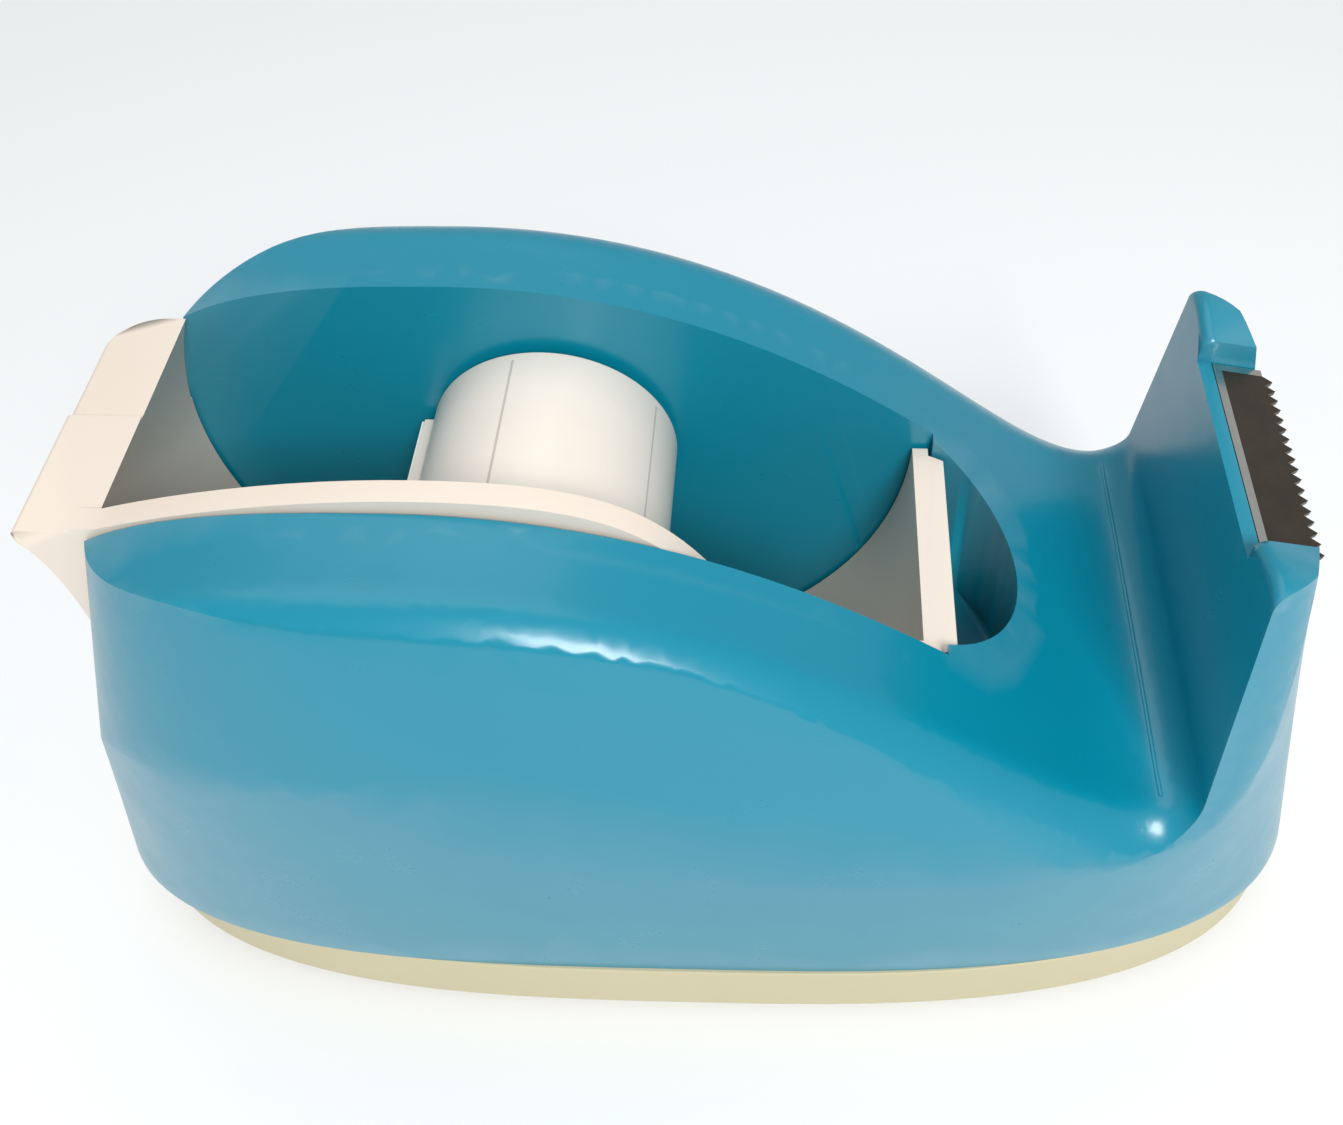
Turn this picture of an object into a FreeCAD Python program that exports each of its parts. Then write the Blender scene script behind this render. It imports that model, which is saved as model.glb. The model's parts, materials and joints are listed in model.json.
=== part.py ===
import FreeCAD, Part
import math
import os

# Desk tape dispenser with a lift-out cradle, in millimetres.
# Frame: origin on the table under the middle of the body, +X towards the cutter,
# +Y away from the cradle's side wall, +Z up.

# ---- driving dimensions ------------------------------------------------------

BODY_LENGTH = 134.8        # at the parting line between shell and base
BODY_WIDTH = 58.2          # at the widest line of the flanks
CREST_HEIGHT = 68.2        # top of the hump above the table
SADDLE_HEIGHT = 37.4       # lowest line of the top, behind the nose
PARTING_HEIGHT = 10.0       # where the shell meets the base
WALL = 2.0                 # shell wall
OUTLINE_POWER = 3.4        # squareness of the plan outline at the rear
FRONT_LOW_POWER = 2.9      # the same at the front
FRONT_POWER = 6.5          # both grow squarer towards the top
REAR_POWER = 4.3
FRONT_LEAN = 14.4          # degrees, front face from vertical
REAR_LEAN = 14.2           # degrees, rear face from vertical
FLANK_DRAFT = 11.6         # degrees, upper flanks from vertical
CREASE_HEIGHT = 50.5       # flank crease above the table at the rear
CREASE_DROP = 3.4          # how far the upper flanks close in towards the front
REAR_CREASE_HEIGHT = 22.2  # where the crease runs round the rear
REAR_TUCK = 4.3            # degrees more lean above it
SHOULDER_REACH = 8.0       # width of the rounding between top and flanks
SHOULDER_FALL = 18.0       # its depth
CROWN = 0.5                # gentle fall across the top lands

HUB_FROM_REAR = 52.2       # hub axis from the rear end at the parting line
HUB_HEIGHT = 48.5          # hub axis above the table
CORE_RADIUS = 12.5         # 25 mm tape core
TAPE_WIDTH = 24.0          # widest tape
TROUGH_RADIUS = 37.0       # clears a full roll
CRADLE_WALL = 1.6
SIDE_WALL = 2.3            # cradle's side wall
SIDE_RISE = 0.9            # it stands this far above the crest
TAB_REACH = 40.2           # tab's outer edge from the hub axis
TAB_THICKNESS = 1.6
TAB_HEIGHT = 16.0          # tab top above the hub axis
TAB_STEP = 0.5             # its near half stands proud
PLATE_THICKNESS = 3.1      # front plate at its top
PLATE_DROP = 0.8           # its top below the hub axis
CRADLE_GAP = 0.4           # cradle to well, each side
WELL_HALF_WIDTH = 13.8
WELL_FRONT = 47.3          # finger pocket's end, from the hub axis
POCKET_DEPTH = 20.0        # its floor below the hub axis
SILL_DROP = 8.0            # rear notch's sill below the hub axis

NOSE_DEPTH = 19.9          # nose rear face to front tip at the parting line
CHEEK_HEIGHT = 64.4        # top of the nose cheeks at their rear
CHEEK_SLOPE = 10.0         # degrees, falls towards the front
CHEEK_REACH = 5.0          # width of the rounding on each cheek's outer edge
CHEEK_FALL = 6.5
SADDLE_RADIUS = 3.6
NOSE_EDGE_RADIUS = 1.0
STRIP_WIDTH = 1.2          # nose land behind the blade
SEAT_LENGTH = 24.0         # blade seat between the cheeks
SEAT_STEP = 3.6            # its floor below the cheeks
SEAT_GAP = 0.1
RELIEF_DEPTH = 14.0        # front face cut back under the teeth, from the cheek tops
CARRIER_DEPTH = 5.0
CARRIER_THICKNESS = 0.5
CARRIER_LIP = 0.8          # rim round the blade
BLADE_DEPTH = 5.0          # rim to tooth tips
BLADE_THICKNESS = 0.5
TOOTH_PITCH = 1.2
TOOTH_HEIGHT = 0.9

BASE_WALL = 2.0
BASE_LEDGE = 0.45          # base stands out below the shell
BASE_FLARE = 0.35          # and widens this much more towards the table
BASE_EDGE_RADIUS = 1.6
BASE_END_INSET = 1.0       # its ends fall short of the shell's by this, ledge apart
TONGUE_HEIGHT = 1.6        # base rim that locates the shell
TONGUE_WIDTH = 1.2
FIT_GAP = 0.15
FOOT_RADIUS = 5.0
FOOT_HEIGHT = 0.8
FOOT_INSET = 13.0          # foot centres from the ends of the base
FOOT_SIDE = 16.5           # and from the centre line
SCREW_RADIUS = 1.25
SCREW_BITE = 10.0
HEAD_RADIUS = 2.4
HEAD_HEIGHT = 1.3
BOSS_RADIUS = 3.0
BOSS_HEIGHT = 24.0
REAR_BOSS_INSET = 23.0     # boss centres from the rear end
FRONT_BOSS_INSET = 17.0    # and from the front end
BOSS_SIDE = 19.5           # rear bosses from the centre line
FRONT_BOSS_SIDE = 16.8
WEIGHT_GAP = 0.3           # round each weight
FRONT_WEIGHT_HEIGHT = 19.0
FRONT_WEIGHT_WIDTH = 25.0
SIDE_WEIGHT_HEIGHT = 14.0
SIDE_WEIGHT_WIDTH = 6.5

AXLE_RADIUS = 3.0
AXLE_CLEARANCE = 0.05      # radial running clearance, hub on its axle
AXLE_FLANGE = 1.0          # head behind the cradle's side wall
DRUM_WALL = 1.6
DRUM_WEB = 2.0
BORE_WALL = 2.4
DRUM_GAP = 0.6             # drum to the cradle's side wall
PAD_HEIGHT = 1.0           # grip pad on the drum
WASHER_THICKNESS = 0.5
RETAINER_THICKNESS = 0.8

# ---- derived places ----------------------------------------------------------

REAR_X = -BODY_LENGTH / 2
FRONT_X = BODY_LENGTH / 2
HUB_X = REAR_X + HUB_FROM_REAR
HUB_Z = HUB_HEIGHT
NOSE_REAR_X = FRONT_X - NOSE_DEPTH
HALF_WIDTH = BODY_WIDTH / 2
TOP_Z = CREST_HEIGHT + 20.0
OUTLINE_STEPS = 48
LOW_POWERS = (OUTLINE_POWER, FRONT_LOW_POWER)
BASE_POWERS = (OUTLINE_POWER - 0.4, FRONT_LOW_POWER - 0.1)
TOP_POWERS = (REAR_POWER, FRONT_POWER)


def vec(x, y, z):
    return FreeCAD.Vector(x, y, z)


def tan(degrees):
    return math.tan(math.radians(degrees))


def box(x0, x1, y0, y1, z0, z1):
    return Part.makeBox(x1 - x0, y1 - y0, z1 - z0, vec(x0, y0, z0))


def rod(radius, y0, y1, x=HUB_X, z=HUB_Z):
    """A round bar along Y."""
    return Part.makeCylinder(radius, y1 - y0, vec(x, y0, z), vec(0, 1, 0))


def post(radius, x, y, z0, z1):
    """A round bar along Z."""
    return Part.makeCylinder(radius, z1 - z0, vec(x, y, z0))


def signed_power(value, power):
    return math.copysign(abs(value) ** power, value)


def outline(rear, front, half_width, z, powers=LOW_POWERS, narrowing=0.0):
    """Closed plan curve: a superellipse that may close in towards the front."""
    rear_power, front_power = powers
    centre = (rear + front) / 2
    reach = (front - rear) / 2
    points = []
    for step in range(OUTLINE_STEPS):
        angle = 2 * math.pi * step / OUTLINE_STEPS
        power = front_power if math.cos(angle) > 0 else rear_power
        x = centre + reach * signed_power(math.cos(angle), 2 / power)
        along = (x - HUB_X) / (FRONT_X - HUB_X)
        width = half_width - narrowing / 2 * (1 + math.tanh(4 * along - 0.6))
        y = width * signed_power(math.sin(angle), 2 / power)
        points.append(vec(x, y, z))
    curve = Part.BSplineCurve()
    curve.interpolate(Points=points, PeriodicFlag=True)
    return Part.Wire([curve.toShape()])


def leaning_block(inset):
    """The body's lower form: upright flanks, leaning rear and front faces."""
    rise = TOP_Z - PARTING_HEIGHT
    low = outline(REAR_X + inset, FRONT_X - inset, HALF_WIDTH - 0.8 - inset, PARTING_HEIGHT)
    rear = REAR_X + inset + rise * tan(REAR_LEAN)
    front = FRONT_X - inset - rise * tan(FRONT_LEAN)
    high = outline(rear, front, HALF_WIDTH + 0.6 - inset, TOP_Z, TOP_POWERS)
    return Part.makeLoft([low, high], True, True)


def drafted_block(inset):
    """The body's upper form: flanks that lean in and close in towards the nose."""
    rear_crease = REAR_X + (REAR_CREASE_HEIGHT - PARTING_HEIGHT) * tan(REAR_LEAN)
    wires = []
    for z, powers in ((PARTING_HEIGHT, LOW_POWERS), (TOP_Z, TOP_POWERS)):
        rear = rear_crease + inset + (z - REAR_CREASE_HEIGHT) * tan(REAR_LEAN + REAR_TUCK)
        front = FRONT_X + 1 - inset - (z - PARTING_HEIGHT) * tan(FRONT_LEAN)
        half_width = HALF_WIDTH - inset - (z - CREASE_HEIGHT) * tan(FLANK_DRAFT)
        wires.append(outline(rear, front, half_width, z, powers, CREASE_DROP))
    return Part.makeLoft(wires, True, True)


def elliptic_fall(distance, reach, depth):
    """Drop of a quarter-elliptic rounding, at a distance into it."""
    share = min(max(distance / reach, 0.0), 1.0)
    return depth * (1 - math.sqrt(1 - share ** 2))


def bezier(points):
    curve = Part.BezierCurve()
    curve.setPoles(points)
    return curve.toShape()


def side_profile(y, fall, cheek_fall):
    """The body's side view at one y: hump, saddle, nose rear face and cheek top."""
    def at(x, z):
        return vec(x, y, z)

    crest = at(HUB_X - 8, CREST_HEIGHT - fall)
    rear_low = at(HUB_X - 42.5, HUB_Z + 2 - fall)
    rear = bezier([rear_low, at(HUB_X - 41, CREST_HEIGHT - 0.5 - fall), at(HUB_X - 22, crest.z), crest])
    saddle = at(NOSE_REAR_X - SADDLE_RADIUS, SADDLE_HEIGHT - fall)
    span = saddle.x - crest.x
    sweep = bezier([crest, at(crest.x + 0.55 * span, crest.z), at(crest.x + 0.82 * span, saddle.z), saddle])
    foot = at(NOSE_REAR_X, saddle.z + SADDLE_RADIUS)
    half = SADDLE_RADIUS * math.sqrt(0.5)
    bend = Part.Arc(saddle, at(saddle.x + half, foot.z - half), foot).toShape()
    cheek = CHEEK_HEIGHT - cheek_fall
    edge = NOSE_EDGE_RADIUS
    wall_top = at(NOSE_REAR_X, cheek - edge)
    tilt = math.radians(90 - CHEEK_SLOPE)
    centre = at(NOSE_REAR_X + edge, cheek - edge)
    land = at(centre.x + edge * math.cos(tilt), centre.z + edge * math.sin(tilt))
    middle = math.radians(180 - (90 + CHEEK_SLOPE) / 2)
    lip = at(centre.x + edge * math.cos(middle), centre.z + edge * math.sin(middle))
    ahead = FRONT_X + 10
    top_end = at(ahead, land.z - (ahead - land.x) * tan(CHEEK_SLOPE))
    behind = REAR_X - 5
    outer = [top_end, at(ahead, 0), at(behind, 0), at(behind, HUB_Z - 20 - fall), rear_low]
    edges = [rear, sweep, bend, Part.makeLine(foot, wall_top), Part.Arc(wall_top, lip, land).toShape()]
    edges.append(Part.makeLine(land, top_end))
    edges += [Part.makeLine(a, b) for a, b in zip(outer, outer[1:])]
    return Part.Wire(edges)


def top_block(inset):
    """Everything under the top surface, which falls away elliptically over the shoulders."""
    shoulder = HALF_WIDTH + 0.6 - SHOULDER_REACH
    cheek = cheek_half_width() - CHEEK_REACH
    stations = [0.0, 0.4, 0.68, 0.78, 0.85, 0.9, 0.94, 0.97, 1.0]
    widest = shoulder + 0.97 * SHOULDER_REACH
    wires = []
    for share in [-s for s in reversed(stations[1:])] + stations:
        y = share * widest
        reach = abs(y)
        fall = CROWN * (reach / HALF_WIDTH) ** 2
        fall += elliptic_fall(reach - shoulder, SHOULDER_REACH, SHOULDER_FALL) + inset
        drop = elliptic_fall(reach - cheek, CHEEK_REACH, CHEEK_FALL) + inset
        wires.append(side_profile(y, fall, drop))
    return Part.makeLoft(wires, True, False)


def cheek_half_width():
    """The nose's half width where its rear face meets the flanks."""
    return HALF_WIDTH - 6.0


def body_form(inset):
    """The closed body, or its inside when inset by the wall."""
    return leaning_block(inset).common(drafted_block(inset)).common(top_block(inset))


# ---- shell -------------------------------------------------------------------

def well_radius():
    return TROUGH_RADIUS + CRADLE_WALL + CRADLE_GAP


def well(grow):
    """The chamber for the cradle, with its round-ended finger pocket in front."""
    half = WELL_HALF_WIDTH + grow
    radius = well_radius() + grow
    pocket_x = HUB_X + WELL_FRONT - WELL_HALF_WIDTH
    floor = HUB_Z - POCKET_DEPTH - grow
    drum = rod(radius, -half, half)
    chimney = box(HUB_X - radius, pocket_x, -half, half, HUB_Z, TOP_Z)
    throat = box(HUB_X, pocket_x, -half, half, floor, TOP_Z)
    end = post(half, pocket_x, 0, floor, TOP_Z)
    return drum.fuse([chimney, throat, end])


def boss_places():
    rear = REAR_X + REAR_BOSS_INSET
    front = FRONT_X - FRONT_BOSS_INSET
    return [(x, side * y) for x, y in ((rear, BOSS_SIDE), (front, FRONT_BOSS_SIDE)) for side in (-1, 1)]


def screw_bosses(outer):
    """Posts for the base screws, each tied to its flank by a rib."""
    top = PARTING_HEIGHT + BOSS_HEIGHT
    solids = []
    for x, y in boss_places():
        solids.append(post(BOSS_RADIUS, x, y, PARTING_HEIGHT, top))
        reach = math.copysign(HALF_WIDTH, y)
        solids.append(box(x - 0.75, x + 0.75, min(y, reach), max(y, reach), PARTING_HEIGHT, top))
    return solids[0].fuse(solids[1:]).common(outer)


def seat_angle():
    return CHEEK_SLOPE


def on_seat(shape):
    """Places a shape drawn on the seat floor: x forward from its rear edge, z up from it."""
    placed = shape.copy()
    placed.rotate(vec(0, 0, 0), vec(0, 1, 0), seat_angle())
    placed.translate(vec(NOSE_REAR_X + STRIP_WIDTH, 0, CHEEK_HEIGHT - SEAT_STEP))
    return placed


def land_cut():
    """Lowers the land behind the blade to the height of the blade's top."""
    half = SEAT_LENGTH / 2
    top = CARRIER_THICKNESS + BLADE_THICKNESS
    return on_seat(box(-STRIP_WIDTH - 5, 0.5, -half, half, top, top + 10))


def seat_cut():
    """The blade seat, and the relief under the overhanging teeth."""
    half = SEAT_LENGTH / 2
    seat = on_seat(box(0, 30, -half, half, 0, 12))
    relief_x = NOSE_REAR_X + STRIP_WIDTH + CARRIER_DEPTH
    relief = box(relief_x, FRONT_X, -half, half, CHEEK_HEIGHT - RELIEF_DEPTH, TOP_Z)
    return seat.fuse(relief)


def inside_form():
    """The hollow inside the walls: under the hump and sweep, and a pocket up into the nose."""
    ahead = NOSE_REAR_X - SADDLE_RADIUS - 3
    ceiling = SADDLE_HEIGHT - WALL - CROWN
    wide = HALF_WIDTH + 5
    under_top = body_form(WALL).cut(box(ahead, FRONT_X + 20, -wide, wide, ceiling, TOP_Z))
    half = SEAT_LENGTH / 2 + 3
    pocket_top = CHEEK_HEIGHT - RELIEF_DEPTH - WALL
    pocket = box(NOSE_REAR_X + WALL, FRONT_X, -half, half, ceiling - 2, pocket_top)
    return under_top.fuse(pocket.common(leaning_block(WALL)).common(drafted_block(WALL)))


def make_shell():
    outer = body_form(0)
    below = box(HUB_X - 30, HUB_X + 30, -HALF_WIDTH, HALF_WIDTH, 0, PARTING_HEIGHT)
    liner = well(WALL).common(outer.fuse(below))
    shell = outer.cut(inside_form()).fuse([liner, screw_bosses(outer)])
    notch = box(REAR_X, HUB_X - 20, -WELL_HALF_WIDTH, WELL_HALF_WIDTH, HUB_Z - SILL_DROP, TOP_Z)
    shell = shell.cut([well(0), notch, land_cut(), seat_cut()])
    pilots = [post(SCREW_RADIUS, x, y, 0, PARTING_HEIGHT + SCREW_BITE) for x, y in boss_places()]
    return shell.cut(pilots).removeSplitter()


# ---- base --------------------------------------------------------------------

def base_outline(inset, z):
    """The shell's plan at the parting line, inset; above it the walls lean as the shell's do."""
    lean = max(z - PARTING_HEIGHT, 0.0)
    rear = REAR_X + BASE_END_INSET + inset + lean * tan(REAR_LEAN)
    front = FRONT_X - BASE_END_INSET - inset - lean * tan(FRONT_LEAN)
    return outline(rear, front, HALF_WIDTH - 0.8 - inset, z, BASE_POWERS)


def base_slab(inset, z0, z1):
    return Part.makeLoft([base_outline(inset, z0), base_outline(inset, z1)], True, True)


def weight_screw_places():
    front = front_weight_span()
    side = side_weight_middle()
    third = (front[1] - front[0]) / 4
    return [(front[0] + third, 0), (front[1] - third, 0), (side[0], -side[1]), (side[0], side[1])]


def make_base_plate():
    foot = base_outline(-BASE_LEDGE - BASE_FLARE, FOOT_HEIGHT)
    outer = Part.makeLoft([foot, base_outline(-BASE_LEDGE, PARTING_HEIGHT)], True, True)
    rim = min(outer.Edges, key=lambda edge: edge.BoundBox.ZMax)
    outer = outer.makeFillet(BASE_EDGE_RADIUS, [rim])
    floor = FOOT_HEIGHT + BASE_WALL
    top = PARTING_HEIGHT + TONGUE_HEIGHT
    inset = WALL + FIT_GAP
    tongue = base_slab(inset, PARTING_HEIGHT - 1.5, top)
    core = base_slab(inset + TONGUE_WIDTH, floor, top + 1)
    plate = outer.cut(base_slab(inset + 0.5, floor, PARTING_HEIGHT + 1)).fuse(tongue).cut(core)
    plate = plate.fuse([post(BOSS_RADIUS + 0.6, x, y, FOOT_HEIGHT, PARTING_HEIGHT) for x, y in boss_places()])
    cuts = []
    for x, y in boss_places() + weight_screw_places():
        cuts.append(post(SCREW_RADIUS, x, y, 0, top + 1))
        cuts.append(post(HEAD_RADIUS, x, y, 0, FOOT_HEIGHT + HEAD_HEIGHT))
    cuts += [rib_slot(x, y) for x, y in boss_places()]
    for cut in cuts:
        plate = plate.cut(cut)
    return plate


def rib_slot(x, y):
    """Clears the tongue where a boss and its rib come down to the parting line."""
    reach = math.copysign(HALF_WIDTH, y)
    low = PARTING_HEIGHT
    return box(x - 3.4, x + 3.4, min(y, reach), max(y, reach), low, low + TONGUE_HEIGHT + 1)


def screw(x, y, length):
    head = post(HEAD_RADIUS, x, y, FOOT_HEIGHT, FOOT_HEIGHT + HEAD_HEIGHT)
    shank = post(SCREW_RADIUS, x, y, FOOT_HEIGHT + HEAD_HEIGHT, FOOT_HEIGHT + HEAD_HEIGHT + length)
    slot = box(x - 1.6, x + 1.6, y - 0.25, y + 0.25, FOOT_HEIGHT, FOOT_HEIGHT + 0.6)
    cross = box(x - 0.25, x + 0.25, y - 1.6, y + 1.6, FOOT_HEIGHT, FOOT_HEIGHT + 0.6)
    return head.fuse(shank).cut([slot, cross])


def make_base_screws():
    length = PARTING_HEIGHT + SCREW_BITE - FOOT_HEIGHT - HEAD_HEIGHT - 0.5
    return Part.makeCompound([screw(x, y, length) for x, y in boss_places()])


def foot_places():
    rear = REAR_X + FOOT_INSET
    front = FRONT_X - FOOT_INSET - 9
    return {
        "foot_rear_near": (rear, -FOOT_SIDE + 3),
        "foot_rear_far": (rear, FOOT_SIDE - 3),
        "foot_front_near": (front, -FOOT_SIDE),
        "foot_front_far": (front, FOOT_SIDE),
    }


def make_foot(x, y):
    disc = post(FOOT_RADIUS, x, y, 0, FOOT_HEIGHT)
    rim = min(disc.Edges, key=lambda edge: edge.BoundBox.ZMax)
    return disc.makeFillet(FOOT_HEIGHT / 2, [rim])


# ---- weights -----------------------------------------------------------------

def front_weight_span():
    rear = HUB_X + well_radius() + WALL - 5.5
    front = FRONT_X - FRONT_BOSS_INSET + BOSS_RADIUS + 5
    return rear, front


def make_front_weight():
    rear, front = front_weight_span()
    floor = FOOT_HEIGHT + BASE_WALL
    half = FRONT_WEIGHT_WIDTH / 2
    block = box(rear, front, -half, half, floor, floor + FRONT_WEIGHT_HEIGHT)
    chamber = rod(well_radius() + WALL + WEIGHT_GAP, -half, half)
    pocket = well(WALL + WEIGHT_GAP)
    block = block.cut([chamber, pocket])
    holes = [post(SCREW_RADIUS, x, y, 0, PARTING_HEIGHT + SCREW_BITE) for x, y in weight_screw_places()[:2]]
    return block.cut(holes)


def side_weight_middle():
    x = HUB_X + 14
    y = WELL_HALF_WIDTH + WALL + WEIGHT_GAP + SIDE_WEIGHT_WIDTH / 2
    return x, y


def make_side_weight(side):
    x, y = side_weight_middle()
    floor = FOOT_HEIGHT + BASE_WALL
    half = SIDE_WEIGHT_WIDTH / 2
    rear = REAR_X + REAR_BOSS_INSET + BOSS_RADIUS + 1.5
    front = FRONT_X - FRONT_BOSS_INSET - BOSS_RADIUS - 12
    bar = box(rear, front, side * y - half, side * y + half, floor, floor + SIDE_WEIGHT_HEIGHT)
    return bar.cut(post(SCREW_RADIUS, x, side * y, 0, PARTING_HEIGHT + SCREW_BITE))


def make_weight_screws():
    return Part.makeCompound([screw(x, y, SCREW_BITE) for x, y in weight_screw_places()])


# ---- blade -------------------------------------------------------------------

def make_blade_carrier():
    """Bright steel tray pressed into the nose seat, with a rim behind and beside the blade."""
    half = SEAT_LENGTH / 2 - SEAT_GAP
    rear = SEAT_GAP
    height = CARRIER_THICKNESS + BLADE_THICKNESS
    tray = box(rear, CARRIER_DEPTH, -half, half, 0, height)
    well_half = half - CARRIER_LIP
    pocket = box(rear + CARRIER_LIP, CARRIER_DEPTH + 1, -well_half, well_half, CARRIER_THICKNESS, height + 1)
    return on_seat(tray.cut(pocket))


def make_cutter_blade():
    """Toothed steel strip: a row of equal teeth along the front edge."""
    half = SEAT_LENGTH / 2 - SEAT_GAP - CARRIER_LIP
    rear = SEAT_GAP + CARRIER_LIP
    root = rear + BLADE_DEPTH - TOOTH_HEIGHT
    count = max(int(2 * half / TOOTH_PITCH), 1)
    pitch = 2 * half / count
    points = [(rear, -half), (root, -half)]
    for tooth in range(count):
        start = -half + tooth * pitch
        points.append((root + TOOTH_HEIGHT, start + pitch / 2))
        points.append((root, start + pitch))
    points += [(rear, half), (rear, -half)]
    face = Part.Face(Part.makePolygon([vec(x, y, CARRIER_THICKNESS) for x, y in points]))
    return on_seat(face.extrude(vec(0, 0, BLADE_THICKNESS)))


# ---- cradle ------------------------------------------------------------------

def side_wall_top(y):
    """Under this curve lies the cradle's side wall."""
    def at(x, z):
        return vec(HUB_X + x, y, HUB_Z + z)

    crest = CREST_HEIGHT + SIDE_RISE - HUB_Z
    tab = TAB_HEIGHT + 0.4
    plate = TROUGH_RADIUS + PLATE_THICKNESS + 1
    peak = at(-6, crest)
    dip = at(18, crest - 11)
    rear = bezier([at(-33, tab), at(-26, crest - 2), at(-16, crest), peak])
    front = bezier([peak, at(8, crest), at(13, crest - 2.6), dip])
    tail = bezier([dip, at(22, crest - 17.2), at(28, -PLATE_DROP), at(plate, -PLATE_DROP)])
    corners = [at(plate, -PLATE_DROP), at(plate, -HUB_Z), at(-60, -HUB_Z), at(-60, tab), at(-33, tab)]
    edges = [rear, front, tail] + [Part.makeLine(a, b) for a, b in zip(corners, corners[1:])]
    return Part.Face(Part.Wire(edges))


def rear_face_x(z):
    """The shell's rear face on the centre line, above its crease."""
    crease = REAR_X + (REAR_CREASE_HEIGHT - PARTING_HEIGHT) * tan(REAR_LEAN)
    return crease + (z - REAR_CREASE_HEIGHT) * tan(REAR_LEAN + REAR_TUCK)


def tab_section(y, top):
    """Side view of the rear tab, its lip and the wall that fills the notch, as a face at y."""
    inner = HUB_X - TROUGH_RADIUS + 6
    outer = HUB_X - TAB_REACH
    wall = HUB_X - TROUGH_RADIUS - CRADLE_WALL
    sill = HUB_Z - SILL_DROP
    under = HUB_Z + TAB_HEIGHT - TAB_THICKNESS
    soft = 0.5
    a = vec(inner, y, sill)
    b = vec(inner, y, top)
    c = vec(outer + soft, y, top)
    d = vec(outer, y, top - soft)
    e = vec(outer, y, under)
    part_way = soft * (1 - math.sqrt(0.5))
    corner = Part.Arc(c, vec(outer + part_way, y, top - part_way), d)
    knee = vec(wall + 0.1, y, HUB_Z + 5)
    lip = bezier([e, vec(outer + 1.2, y, under - 1.5), vec(knee.x, y, knee.z + 4), knee])
    waist = vec(wall + 0.1, y, HUB_Z)
    heel = vec(rear_face_x(sill) + 1.2, y, sill)
    edges = [Part.makeLine(a, b), Part.makeLine(b, c), corner.toShape(), Part.makeLine(d, e), lip]
    edges += [Part.makeLine(knee, waist), Part.makeLine(waist, heel), Part.makeLine(heel, a)]
    return Part.Face(Part.Wire(edges))


def make_cradle():
    """One moulding: side wall, trough, front plate, rear tab and the axle's boss."""
    near = -(WELL_HALF_WIDTH - CRADLE_GAP)
    far = WELL_HALF_WIDTH - CRADLE_GAP
    outer = rod(TROUGH_RADIUS + CRADLE_WALL, near, far)
    hole = rod(TROUGH_RADIUS, near + SIDE_WALL, far + 1)
    plate_front = HUB_X + TROUGH_RADIUS + PLATE_THICKNESS
    plate_top = HUB_Z - PLATE_DROP
    pocket_floor = HUB_Z - POCKET_DEPTH
    plate = box(HUB_X + TROUGH_RADIUS - 8, plate_front, near, far, pocket_floor, plate_top)
    plate = plate.common(pocket_plan())
    open_top = box(HUB_X, plate_front + 5, near + SIDE_WALL, far + 1, plate_top, TOP_Z)
    tab_far = tab_section(far, HUB_Z + TAB_HEIGHT - TAB_STEP).extrude(vec(0, -far, 0))
    tab_near = tab_section(near, HUB_Z + TAB_HEIGHT).extrude(vec(0, -near, 0))
    open_rear = box(HUB_X - 60, HUB_X, near + SIDE_WALL, far + 1, HUB_Z + TAB_HEIGHT - TAB_STEP, TOP_Z)
    ring = outer.cut([open_top, open_rear])
    ring = ring.common(side_wall_top(near).extrude(vec(0, far - near, 0)))
    cradle = ring.fuse([plate, tab_far, tab_near]).cut(hole)
    cradle = cradle.cut(tab_corner_cut(far))
    boss = rod(AXLE_RADIUS + BORE_WALL, near + SIDE_WALL - 0.5, near + SIDE_WALL + DRUM_GAP - WASHER_THICKNESS)
    cradle = cradle.fuse(boss)
    axle_hole = rod(AXLE_RADIUS, near - 1, near + SIDE_WALL + 2)
    flange_seat = rod(AXLE_RADIUS + 1.5, near - 1, near + AXLE_FLANGE)
    return cradle.cut([axle_hole, flange_seat]).removeSplitter()


def pocket_plan():
    """The well's plan less the running gap, for what reaches into its round end."""
    half = WELL_HALF_WIDTH - CRADLE_GAP
    x = HUB_X + WELL_FRONT - WELL_HALF_WIDTH
    return post(half, x, 0, 0, TOP_Z).fuse(box(HUB_X, x, -half, half, 0, TOP_Z))


def tab_corner_cut(far):
    """Rounds the tab's far outer corner in plan."""
    radius = 5.0
    outer = HUB_X - TAB_REACH
    block = box(outer - 1, outer + radius, far - radius, far + 1, HUB_Z + 5, TOP_Z)
    return block.cut(post(radius, outer + radius, far - radius, 0, TOP_Z))


# ---- hub ---------------------------------------------------------------------

def drum_near():
    return -(WELL_HALF_WIDTH - CRADLE_GAP) + SIDE_WALL + DRUM_GAP


def drum_far():
    return drum_near() + TAPE_WIDTH - 0.6


def make_hub_drum():
    near, far = drum_near(), drum_far()
    bore = AXLE_RADIUS + AXLE_CLEARANCE
    tube = rod(CORE_RADIUS, near, far).cut(rod(CORE_RADIUS - DRUM_WALL, near + DRUM_WEB, far + 1))
    sleeve = rod(bore + BORE_WALL, near, far - 3)
    ribs = []
    for turn in range(5):
        rib = box(HUB_X + bore, HUB_X + CORE_RADIUS - 0.5, near, far - 6, HUB_Z - 0.6, HUB_Z + 0.6)
        rib.rotate(vec(HUB_X, 0, HUB_Z), vec(0, 1, 0), 72 * turn)
        ribs.append(rib)
    pad = rod(CORE_RADIUS + PAD_HEIGHT, far - 10, far).common(
        box(HUB_X - CORE_RADIUS - 3, HUB_X - CORE_RADIUS + 3, far - 10, far, HUB_Z - 0.5, HUB_Z + 3.0))
    pad = pad.cut(rod(CORE_RADIUS - 0.5, near, far))
    return tube.fuse([sleeve, pad] + ribs).cut(rod(bore, near - 1, far + 1)).removeSplitter()


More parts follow.
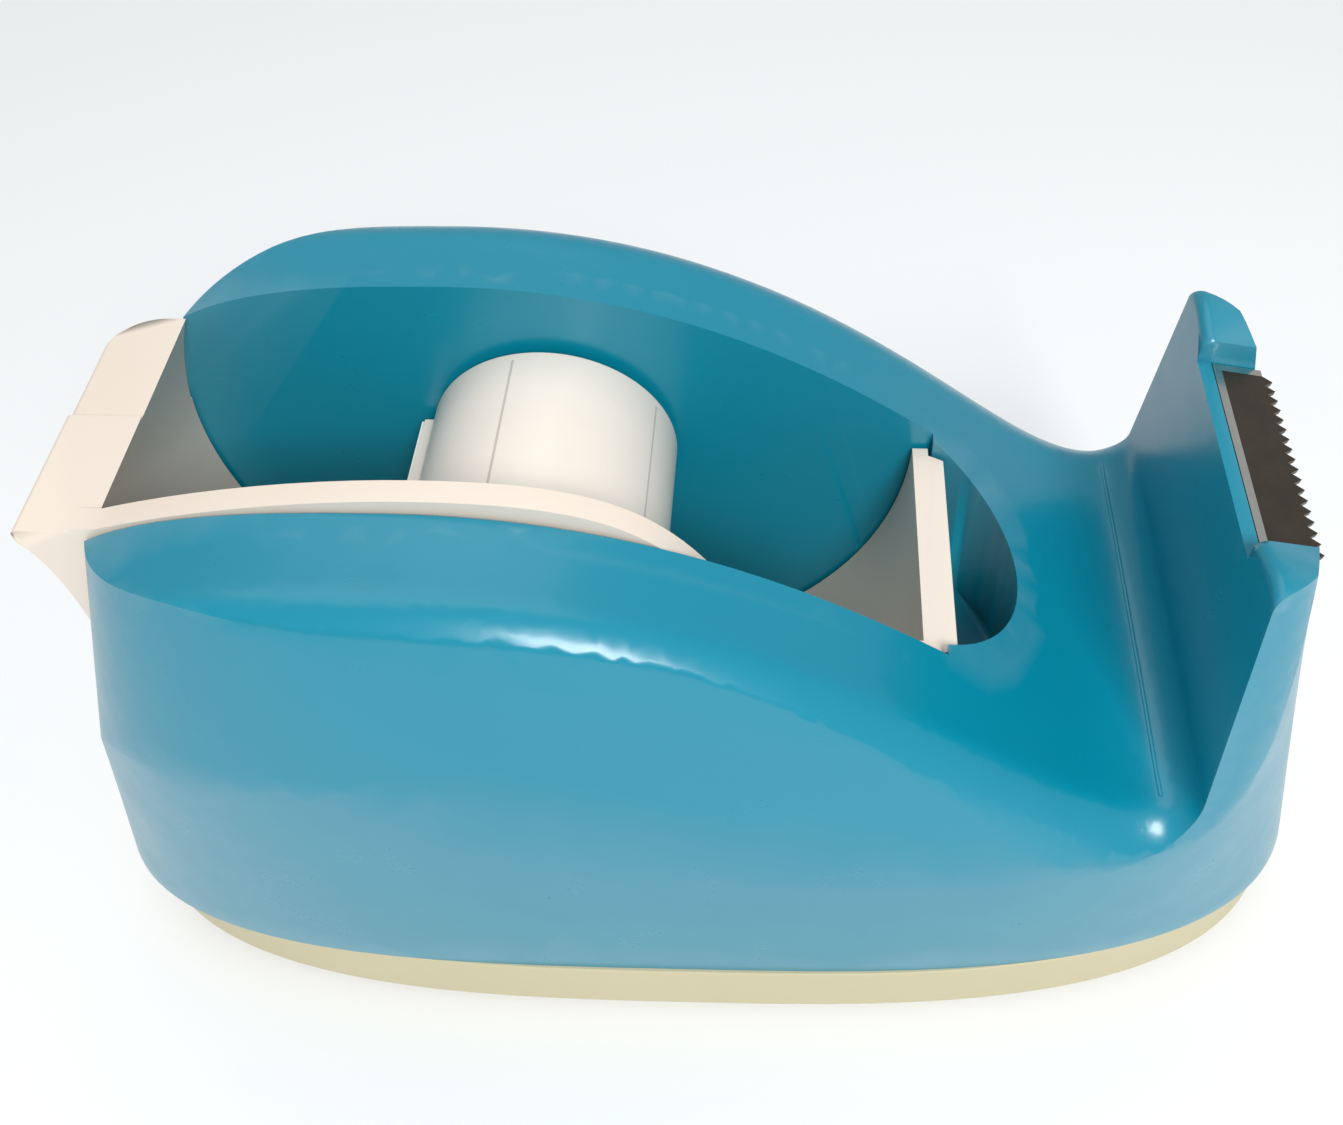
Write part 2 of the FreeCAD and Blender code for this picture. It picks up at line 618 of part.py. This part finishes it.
def make_hub_axle():
    near = -(WELL_HALF_WIDTH - CRADLE_GAP)
    flange = rod(AXLE_RADIUS + 1.5, near + 0.1, near + AXLE_FLANGE)
    return flange.fuse(rod(AXLE_RADIUS, near + 0.1, drum_far() - 1.2)).removeSplitter()


def make_hub_washer():
    far = drum_near() - 0.1
    ring = rod(AXLE_RADIUS + 4.0, far - WASHER_THICKNESS + 0.1, far)
    return ring.cut(rod(AXLE_RADIUS, far - 2, far + 1))


def make_hub_retainer():
    start = drum_far() - 3 + 0.3
    ring = rod(AXLE_RADIUS + 2.2, start, start + RETAINER_THICKNESS)
    return ring.cut(rod(AXLE_RADIUS, start - 1, start + 2))


def write(node, shape):
    shape.exportStep(os.path.join("parts", node + ".step"))


def main():
    os.makedirs("parts", exist_ok=True)
    write("shell", make_shell())
    write("base_plate", make_base_plate())
    write("base_screws", make_base_screws())
    for node, place in foot_places().items():
        write(node, make_foot(*place))
    write("front_weight", make_front_weight())
    write("side_weight_near", make_side_weight(-1))
    write("side_weight_far", make_side_weight(1))
    write("weight_screws", make_weight_screws())
    write("blade_carrier", make_blade_carrier())
    write("cutter_blade", make_cutter_blade())
    write("cradle", make_cradle())
    write("hub_axle", make_hub_axle())
    write("hub_washer", make_hub_washer())
    write("hub_drum", make_hub_drum())
    write("hub_retainer", make_hub_retainer())


main()
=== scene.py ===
import json
import math
import bmesh
import bpy
from mathutils import Matrix, Vector
from mathutils.bvhtree import BVHTree


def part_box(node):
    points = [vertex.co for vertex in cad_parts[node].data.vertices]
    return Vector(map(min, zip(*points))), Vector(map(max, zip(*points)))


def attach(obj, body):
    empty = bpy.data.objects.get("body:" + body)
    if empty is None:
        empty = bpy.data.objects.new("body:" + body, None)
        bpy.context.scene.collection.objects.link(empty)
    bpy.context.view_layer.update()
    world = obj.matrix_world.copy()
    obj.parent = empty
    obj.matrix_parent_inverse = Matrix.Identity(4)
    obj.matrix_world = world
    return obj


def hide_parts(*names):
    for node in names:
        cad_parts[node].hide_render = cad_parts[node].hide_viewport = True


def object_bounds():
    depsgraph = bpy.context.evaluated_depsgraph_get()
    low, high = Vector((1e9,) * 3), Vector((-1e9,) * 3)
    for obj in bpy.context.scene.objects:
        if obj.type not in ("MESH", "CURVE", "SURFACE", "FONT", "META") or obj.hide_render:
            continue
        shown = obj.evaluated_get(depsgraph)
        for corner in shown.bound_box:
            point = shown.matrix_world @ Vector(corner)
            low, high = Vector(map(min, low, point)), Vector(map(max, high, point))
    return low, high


# Desk tape dispenser: moulded case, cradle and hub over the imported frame, all in metres.

MM = 0.001
SLIVER = 0.06 * MM         # triangles thinner than this carry no true direction
WELD = 0.002 * MM          # corners closer than this are one
SOFT_RADIUS = 0.2 * MM     # on the base's and the hub's sharp edges
SOFT_ANGLE = 62.0          # degrees, and only on edges sharper than this
RELIEF = 0.15 * MM         # deepest surface grain
SEAM_WIDTH = 0.24 * MM     # moulding seams along the hub, coloured darker as painted shade lines
SEAM_HEIGHT = 0.12 * MM
SEAM_SINK = 0.04 * MM
SEAM_END_GAP = 1.0 * MM
SEAM_FIRST = 12            # degrees from the hub's top towards the rear
SEAMS = 5
GRIP_LENGTH = 9.6 * MM     # face of the hub's grip pad, painted whiter as a highlight
GRIP_THICKNESS = 0.25 * MM
GRIP_HEIGHT = 3.2 * MM
GRIP_REACH = 0.87 * MM     # its middle beyond the hub
GRIP_RISE = 1.2 * MM       # its middle above the hub's axis
GRIP_FROM_END = 5.0 * MM
BEAD_X = 44.6 * MM         # fine bead across the saddle
BEAD_WIDTH = 0.5 * MM
BEAD_RISE = 0.12 * MM
BEAD_HALF_LENGTH = 21      # steps of a millimetre
FLOOR_GAP = 0.05 * MM      # keeps the floor just under the feet

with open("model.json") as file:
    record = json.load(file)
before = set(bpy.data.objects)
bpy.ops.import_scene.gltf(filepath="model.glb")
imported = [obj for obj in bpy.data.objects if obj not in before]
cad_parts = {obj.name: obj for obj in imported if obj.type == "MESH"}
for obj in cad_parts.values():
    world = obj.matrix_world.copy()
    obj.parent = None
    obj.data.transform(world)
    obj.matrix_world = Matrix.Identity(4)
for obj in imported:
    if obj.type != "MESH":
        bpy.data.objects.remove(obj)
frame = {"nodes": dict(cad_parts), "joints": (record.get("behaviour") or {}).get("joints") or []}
cad_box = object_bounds()
spin = next(j for j in frame["joints"] if j["name"] == "hub_spin")
HUB = Vector(spin["pos_m"])


# ---- node groups -------------------------------------------------------------

def new_group(name, inputs, outputs):
    group = bpy.data.node_groups.new(name, "ShaderNodeTree")
    for label, kind, value in inputs:
        socket = group.interface.new_socket(label, in_out="INPUT", socket_type=kind)
        if value is not None:
            socket.default_value = value
    for label, kind in outputs:
        group.interface.new_socket(label, in_out="OUTPUT", socket_type=kind)
    return group


def add(tree, kind, **settings):
    node = tree.nodes.new(kind)
    for key, value in settings.items():
        setattr(node, key, value)
    return node


def math_node(tree, operation, a, b):
    node = add(tree, "ShaderNodeMath", operation=operation)
    for socket, value in zip(node.inputs, (a, b)):
        if isinstance(value, (int, float)):
            socket.default_value = value
        else:
            tree.links.new(value, socket)
    return node.outputs[0]


def noise(tree, vector, scale, detail, roughness=0.5):
    node = add(tree, "ShaderNodeTexNoise")
    node.inputs["Scale"].default_value = scale
    node.inputs["Detail"].default_value = detail
    node.inputs["Roughness"].default_value = roughness
    tree.links.new(vector, node.inputs["Vector"])
    return node.outputs["Fac"]


def mix_colour(tree, factor, a, b):
    node = add(tree, "ShaderNodeMix", data_type="RGBA")
    tree.links.new(factor, node.inputs["Factor"])
    for socket, value in ((node.inputs["A"], a), (node.inputs["B"], b)):
        if isinstance(value, tuple):
            socket.default_value = value
        else:
            tree.links.new(value, socket)
    return node.outputs["Result"]


def moulding_group():
    """Moulded plastic: faint orange peel, cloudy tone and a rub along raised edges."""
    group = new_group("moulded_plastic", [
        ("Colour", "NodeSocketColor", None),
        ("Cloud Colour", "NodeSocketColor", None),
        ("Cloud Amount", "NodeSocketFloat", 0.2),
        ("Peel Scale", "NodeSocketFloat", 900.0),
        ("Gloss Roughness", "NodeSocketFloat", 0.3),
        ("Rub Amount", "NodeSocketFloat", 0.1),
    ], [
        ("Colour", "NodeSocketColor"),
        ("Roughness", "NodeSocketFloat"),
        ("Height", "NodeSocketFloat"),
    ])
    inputs = add(group, "NodeGroupInput").outputs
    outputs = add(group, "NodeGroupOutput").inputs
    place = add(group, "ShaderNodeTexCoord").outputs["Object"]
    cloud = noise(group, place, 38.0, 3.0, 0.55)
    peel = add(group, "ShaderNodeTexNoise")
    peel.inputs["Detail"].default_value = 2.0
    group.links.new(place, peel.inputs["Vector"])
    group.links.new(inputs["Peel Scale"], peel.inputs["Scale"])
    handling = noise(group, place, 130.0, 4.0, 0.6)
    edge = add(group, "ShaderNodeNewGeometry").outputs["Pointiness"]
    raised = add(group, "ShaderNodeMapRange")
    raised.inputs["From Min"].default_value = 0.53
    raised.inputs["From Max"].default_value = 0.62
    group.links.new(edge, raised.inputs["Value"])
    rub = math_node(group, "MULTIPLY", raised.outputs["Result"], inputs["Rub Amount"])
    amount = math_node(group, "MULTIPLY", cloud, inputs["Cloud Amount"])
    tone = mix_colour(group, amount, inputs["Colour"], inputs["Cloud Colour"])
    pale = mix_colour(group, rub, tone, (0.85, 0.9, 0.9, 1.0))
    group.links.new(pale, outputs["Colour"])
    spread = math_node(group, "MULTIPLY", math_node(group, "SUBTRACT", handling, 0.5), 0.16)
    rough = math_node(group, "ADD", inputs["Gloss Roughness"], spread)
    group.links.new(rough, outputs["Roughness"])
    group.links.new(peel.outputs["Fac"], outputs["Height"])
    return group


def metal_group():
    """Rolled or cast metal: fine lines along one axis and grey mottling."""
    group = new_group("worked_metal", [
        ("Colour", "NodeSocketColor", None),
        ("Stain", "NodeSocketColor", None),
        ("Stain Amount", "NodeSocketFloat", 0.4),
        ("Line Stretch", "NodeSocketVector", (1.0, 1.0, 1.0)),
        ("Line Scale", "NodeSocketFloat", 900.0),
        ("Base Roughness", "NodeSocketFloat", 0.3),
    ], [
        ("Colour", "NodeSocketColor"),
        ("Roughness", "NodeSocketFloat"),
        ("Height", "NodeSocketFloat"),
    ])
    inputs = add(group, "NodeGroupInput").outputs
    outputs = add(group, "NodeGroupOutput").inputs
    place = add(group, "ShaderNodeTexCoord").outputs["Object"]
    stretch = add(group, "ShaderNodeVectorMath", operation="MULTIPLY")
    group.links.new(place, stretch.inputs[0])
    group.links.new(inputs["Line Stretch"], stretch.inputs[1])
    lines = add(group, "ShaderNodeTexNoise")
    lines.inputs["Detail"].default_value = 3.0
    group.links.new(stretch.outputs[0], lines.inputs["Vector"])
    group.links.new(inputs["Line Scale"], lines.inputs["Scale"])
    mottle = noise(group, place, 420.0, 4.0, 0.65)
    amount = math_node(group, "MULTIPLY", mottle, inputs["Stain Amount"])
    group.links.new(mix_colour(group, amount, inputs["Colour"], inputs["Stain"]), outputs["Colour"])
    spread = math_node(group, "MULTIPLY", math_node(group, "SUBTRACT", lines.outputs["Fac"], 0.5), 0.35)
    group.links.new(math_node(group, "ADD", inputs["Base Roughness"], spread), outputs["Roughness"])
    group.links.new(lines.outputs["Fac"], outputs["Height"])
    return group


MOULDED = moulding_group()
WORKED = metal_group()


# ---- materials ---------------------------------------------------------------

def finish_material(name, group, values, bump, metallic=0.0, coat=0.0, specular=0.5):
    material = bpy.data.materials.new(name)
    material.use_nodes = True
    tree = material.node_tree
    shader = tree.nodes["Principled BSDF"]
    effect = add(tree, "ShaderNodeGroup", node_tree=group)
    for label, value in values.items():
        effect.inputs[label].default_value = value
    relief = add(tree, "ShaderNodeBump")
    relief.inputs["Strength"].default_value = bump
    relief.inputs["Distance"].default_value = RELIEF
    tree.links.new(effect.outputs["Colour"], shader.inputs["Base Color"])
    tree.links.new(effect.outputs["Roughness"], shader.inputs["Roughness"])
    tree.links.new(effect.outputs["Height"], relief.inputs["Height"])
    tree.links.new(relief.outputs["Normal"], shader.inputs["Normal"])
    shader.inputs["Metallic"].default_value = metallic
    shader.inputs["Coat Weight"].default_value = coat
    shader.inputs["Coat Roughness"].default_value = 0.12
    shader.inputs["Specular IOR Level"].default_value = specular
    return material


def plastic(name, colour, cloud, roughness, bump, **more):
    return finish_material(name, MOULDED, {
        "Colour": (*colour, 1.0),
        "Cloud Colour": (*cloud, 1.0),
        "Cloud Amount": more.pop("cloud_amount", 0.3),
        "Peel Scale": more.pop("peel", 900.0),
        "Gloss Roughness": roughness,
        "Rub Amount": more.pop("rub", 0.08),
    }, bump, **more)


def metal(name, colour, stain, roughness, bump, stretch, **more):
    return finish_material(name, WORKED, {
        "Colour": (*colour, 1.0),
        "Stain": (*stain, 1.0),
        "Stain Amount": more.pop("stained", 0.4),
        "Line Stretch": stretch,
        "Line Scale": more.pop("scale", 900.0),
        "Base Roughness": roughness,
    }, bump, **more)


TEAL = plastic("teal_gloss_case", (0.0, 0.225, 0.33), (0.0, 0.17, 0.245), 0.3, 0.04, coat=0.15)
CREAM = plastic("cream_moulding", (0.76, 0.66, 0.56), (0.66, 0.57, 0.46), 0.38, 0.12, coat=0.1)
DRUM = plastic("pale_hub_moulding", (0.80, 0.74, 0.66), (0.70, 0.64, 0.54), 0.34, 0.1, coat=0.15)
OLIVE = plastic("cream_base_moulding", (0.56, 0.50, 0.32), (0.46, 0.42, 0.26), 0.5, 0.2)
# Painted highlight: a whiter copy of the hub plastic for the lit face of the fin on the hub
LIT_FIN_PLASTIC = plastic("fin_face_painted_highlight", (0.88, 0.86, 0.82), (0.8, 0.78, 0.72), 0.5, 0.2)
# Painted shade: a darker copy of the hub plastic, for the shade lines along the hub's seams
PAINTED_SEAM_SHADE = plastic("hub_seam_shade", (0.50, 0.45, 0.38), (0.42, 0.38, 0.31), 0.5, 0.1)
RUBBER = plastic("black_rubber", (0.03, 0.03, 0.03), (0.06, 0.06, 0.06), 0.75, 0.5, peel=1600.0)
# Painted reflection: the blade steel made near black as if reflecting dark surroundings, with brown
# mottling on it
BLADE_DARK_REFLECTION = metal("blade_steel_mottled_painted_dark_reflection", (0.045, 0.035, 0.028), (0.09, 0.075, 0.05), 0.42, 0.35,
              (1.0, 0.12, 1.0), metallic=0.7, stained=0.8, scale=1400.0)
# Painted highlight: the carrier's rim steel made pale as if catching the light, beside the dark blade
RIM_HIGHLIGHT_STEEL = metal("rim_steel_painted_highlight", (0.62, 0.61, 0.57), (0.42, 0.41, 0.38), 0.25, 0.15,
               (1.0, 0.1, 1.0), metallic=1.0, scale=1400.0)
STEEL = metal("plain_steel", (0.55, 0.55, 0.55), (0.35, 0.34, 0.33), 0.3, 0.12,
              (1.0, 1.0, 0.2), metallic=1.0)
IRON = metal("cast_iron", (0.13, 0.125, 0.12), (0.2, 0.12, 0.07), 0.7, 0.8,
             (1.0, 1.0, 1.0), metallic=0.6, scale=500.0)


def paint(obj, material):
    obj.data.materials.clear()
    obj.data.materials.append(material)
    return obj


# ---- making pieces -----------------------------------------------------------

def piece(name, bm, material, body, replaced=()):
    mesh = bpy.data.meshes.new(name)
    bm.to_mesh(mesh)
    bm.free()
    obj = bpy.data.objects.new(name, mesh)
    bpy.context.scene.collection.objects.link(obj)
    paint(obj, material)
    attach(obj, body)
    if replaced:
        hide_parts(*replaced)
    return obj


def height_of(face):
    """A triangle's height over its longest side."""
    return 2 * face.calc_area() / max(edge.calc_length() for edge in face.edges)


def mark_edges(bm, degrees):
    """Smooth faces, sharp where two sound faces meet at more than the angle."""
    for face in bm.faces:
        face.smooth = True
    for edge in bm.edges:
        turned = edge.is_manifold and edge.calc_face_angle() > math.radians(degrees)
        edge.smooth = not (turned and min(height_of(face) for face in edge.link_faces) > SLIVER)


def soften(obj, width):
    bevel = obj.modifiers.new("soft_edges", "BEVEL")
    bevel.width = width
    bevel.segments = 3
    bevel.limit_method = "ANGLE"
    bevel.angle_limit = math.radians(SOFT_ANGLE)
    bevel.use_clamp_overlap = False
    bevel.harden_normals = True
    bevel.miter_outer = "MITER_ARC"


def skin(node, name, material, body, radius=0.0, degrees=35.0):
    """A merged copy of a CAD node with smooth faces, its sharp edges softened by the radius."""
    bm = bmesh.new()
    bm.from_mesh(frame["nodes"][node].data)
    bmesh.ops.remove_doubles(bm, verts=bm.verts, dist=WELD)
    mark_edges(bm, degrees)
    obj = piece(name, bm, material, body, (node,))
    carried = obj.data.attributes.get("custom_normal")
    if carried:
        obj.data.attributes.remove(carried)
    if radius:
        soften(obj, radius)
    weigh = obj.modifiers.new("even_shading", "WEIGHTED_NORMAL")
    weigh.keep_sharp = True


# ---- small surface pieces ----------------------------------------------------

def around_hub(bm, degrees):
    """Turns a piece drawn straight above the hub's axis round that axis, towards the rear."""
    turn = Matrix.Rotation(math.radians(-degrees), 4, "Y")
    place = Matrix.Translation((HUB.x, 0.0, HUB.z))
    bmesh.ops.transform(bm, matrix=place @ turn, verts=bm.verts)


def bar(length, width, height, centre):
    bm = bmesh.new()
    bmesh.ops.create_cube(bm, size=1.0)
    bmesh.ops.scale(bm, vec=(width, length, height), verts=bm.verts)
    bmesh.ops.translate(bm, vec=centre, verts=bm.verts)
    return bm


def make_hub_seams():
    for number in range(SEAMS):
        place = (0.0, DRUM_MIDDLE, DRUM_RADIUS - SEAM_SINK)
        seam = bar(DRUM_LENGTH - 2 * SEAM_END_GAP, SEAM_WIDTH, SEAM_HEIGHT, place)
        around_hub(seam, SEAM_FIRST + number * 360 / SEAMS)
        piece("hub_seam_%d" % (number + 1), seam, PAINTED_SEAM_SHADE, "hub")


def make_grip_face():
    # A thin sheet at the hub's rear side, painted whiter as the highlight on the fin's lit face
    place = (HUB.x - DRUM_RADIUS - GRIP_REACH, drum_high.y - GRIP_FROM_END, HUB.z + GRIP_RISE)
    grip = bar(GRIP_LENGTH, GRIP_THICKNESS, GRIP_HEIGHT, place)
    bmesh.ops.bevel(grip, geom=grip.edges[:], offset=0.1 * MM, offset_type="OFFSET", segments=2,
                    profile=0.5, affect="EDGES", material=-1)
    piece("hub_fin_lit_face", grip, LIT_FIN_PLASTIC, "hub")


def strip_along(tree, places, width, proud):
    """A low rounded bead laid on the case under a row of places, seen from above."""
    profile = ((-0.5, -0.15), (-0.3, 0.7), (0.0, 1.0), (0.3, 0.7), (0.5, -0.15))
    bm = bmesh.new()
    rows = []
    for x, y in places:
        hit = tree.ray_cast(Vector((x, y, 1.0)), Vector((0.0, 0.0, -1.0)))
        height = hit[0].z
        rows.append([bm.verts.new((x + a * width, y, height + b * proud)) for a, b in profile])
    for one, two in zip(rows, rows[1:]):
        for a, b, c, d in zip(one, one[1:], two[1:], two):
            bm.faces.new((a, b, c, d))
    return bm


def make_saddle_bead():
    case_mesh = bmesh.new()
    case_mesh.from_mesh(frame["nodes"]["shell"].data)
    case_tree = BVHTree.FromBMesh(case_mesh)
    case_mesh.free()
    places = [(BEAD_X, y * MM) for y in range(-BEAD_HALF_LENGTH, BEAD_HALF_LENGTH + 1)]
    piece("saddle_bead", strip_along(case_tree, places, BEAD_WIDTH, BEAD_RISE), TEAL, "body")


def paint_plain_nodes():
    """The nodes that keep their CAD shape."""
    for node, material in (
        ("base_screws", STEEL),
        ("weight_screws", STEEL),
        ("foot_front_near", RUBBER),
        ("foot_front_far", RUBBER),
        ("foot_rear_near", RUBBER),
        ("foot_rear_far", RUBBER),
        ("front_weight", IRON),
        ("side_weight_near", IRON),
        ("side_weight_far", IRON),
        ("blade_carrier", RIM_HIGHLIGHT_STEEL),
        ("cutter_blade", BLADE_DARK_REFLECTION),
        ("hub_axle", STEEL),
        ("hub_washer", STEEL),
        ("hub_retainer", STEEL),
    ):
        paint(frame["nodes"][node], material)


drum_low, drum_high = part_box("hub_drum")
DRUM_RADIUS = (drum_high.z - drum_low.z) / 2
DRUM_MIDDLE = (drum_high.y + drum_low.y) / 2
DRUM_LENGTH = drum_high.y - drum_low.y

skin("shell", "case_skin", TEAL, "body", degrees=45.0)
skin("base_plate", "base_skin", OLIVE, "body", SOFT_RADIUS)
skin("cradle", "cradle_skin", CREAM, "cradle")
skin("hub_drum", "hub_skin", DRUM, "hub", SOFT_RADIUS)
make_hub_seams()
paint_plain_nodes()
make_grip_face()
make_saddle_bead()


# ---- floor, light and camera -------------------------------------------------

def make_floor():
    bm = bmesh.new()
    bmesh.ops.create_grid(bm, x_segments=1, y_segments=1, size=4.0)
    mesh = bpy.data.meshes.new("floor")
    bm.to_mesh(mesh)
    bm.free()
    floor = bpy.data.objects.new("floor", mesh)
    floor.location.z = cad_box[0].z - FLOOR_GAP
    bpy.context.scene.collection.objects.link(floor)
    material = bpy.data.materials.new("pale_floor")
    material.use_nodes = True
    shader = material.node_tree.nodes["Principled BSDF"]
    shader.inputs["Base Color"].default_value = (0.86, 0.87, 0.87, 1.0)
    shader.inputs["Roughness"].default_value = 0.7
    paint(floor, material)


def area_light(name, place, target, size, power, colour=(1.0, 1.0, 1.0)):
    data = bpy.data.lights.new(name, "AREA")
    data.shape = "RECTANGLE"
    data.size, data.size_y = size
    data.energy = power
    data.color = colour
    light = bpy.data.objects.new(name, data)
    light.location = place
    light.rotation_euler = (Vector(target) - Vector(place)).to_track_quat("-Z", "Y").to_euler()
    bpy.context.scene.collection.objects.link(light)


def make_lights():
    area_light("key_softbox", (0.16, -0.42, 0.52), (0.0, 0.0, 0.03), (0.22, 0.22), 3.6)
    area_light("top_fill", (-0.1, 0.25, 0.7), (0.0, 0.0, 0.03), (0.6, 0.5), 1.1)
    world = bpy.data.worlds.new("studio")
    world.use_nodes = True
    world.node_tree.nodes["Background"].inputs["Color"].default_value = (0.95, 0.97, 1.0, 1.0)
    world.node_tree.nodes["Background"].inputs["Strength"].default_value = 0.52
    bpy.context.scene.world = world


def make_camera():
    """Close above the near side, looking down at the hub; set out from the hub's axis."""
    azimuth, elevation = math.radians(1.31), math.radians(51.88)
    back = Vector((math.sin(azimuth) * math.cos(elevation),
                   -math.cos(azimuth) * math.cos(elevation),
                   math.sin(elevation)))
    right = Vector((math.cos(azimuth), math.sin(azimuth), 0.0))
    up = back.cross(right)
    turn = Matrix((right, up, back)).transposed()
    data = bpy.data.cameras.new("camera")
    data.sensor_width = 36.0
    data.lens = 35.38
    data.shift_x = -0.0733
    data.clip_start = 0.005
    camera = bpy.data.objects.new("camera", data)
    camera.matrix_world = Matrix.Translation(HUB + Vector((24.3, -81.3, 100.2)) * MM) @ turn.to_4x4()
    bpy.context.scene.collection.objects.link(camera)
    bpy.context.scene.camera = camera


make_floor()
make_lights()
make_camera()
bpy.context.scene.view_settings.view_transform = "Standard"
